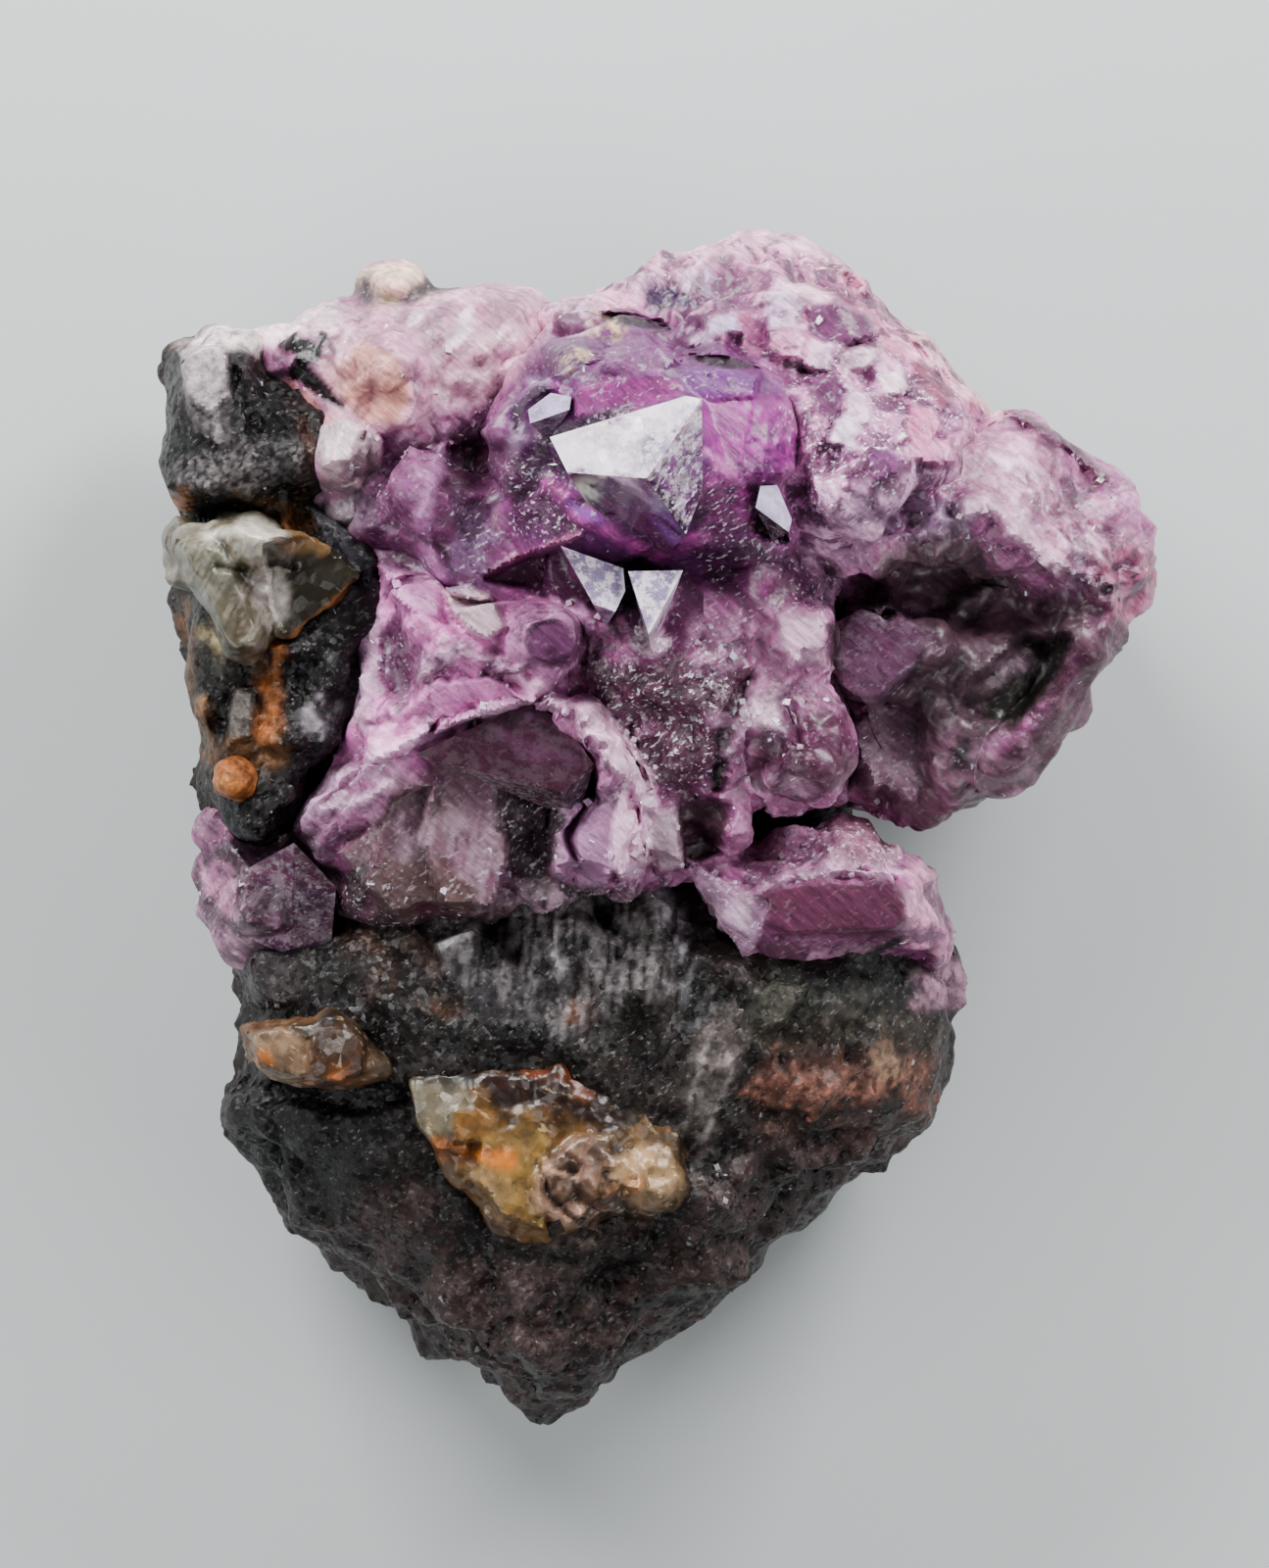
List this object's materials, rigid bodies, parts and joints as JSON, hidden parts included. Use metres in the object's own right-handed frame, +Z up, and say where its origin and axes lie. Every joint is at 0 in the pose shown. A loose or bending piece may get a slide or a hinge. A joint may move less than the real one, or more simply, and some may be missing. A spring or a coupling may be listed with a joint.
{
  "type": "mineral specimen",
  "caption": "Pink cobaltoan calcite crust with sharp rhombic crystals on dark wall rock that narrows to a blunt point, with golden carbonate and white quartz set in it; lies face up.",
  "frame": {"origin": "on the table, under the middle of the specimen's footprint", "axes": "+X to the right of the crystal face, +Y from the pointed end to the crown of crystals, +Z up out of the face"},
  "size_m": [0.0254, 0.03, 0.0175],
  "materials": {
    "wall_rock": "rough dark rock with a fine sparkle",
    "pink_calcite": "glassy translucent crystal",
    "golden_carbonate": "silky lustre on broken crystal faces",
    "quartz": "milky, slightly translucent"
  },
  "bodies": {
    "root": {"wall_rock": "wall_rock", "pink_calcite": "pink_calcite", "golden_carbonate": "golden_carbonate", "golden_ledge": "golden_carbonate", "quartz_ledge": "quartz"}
  },
  "joints": []
}
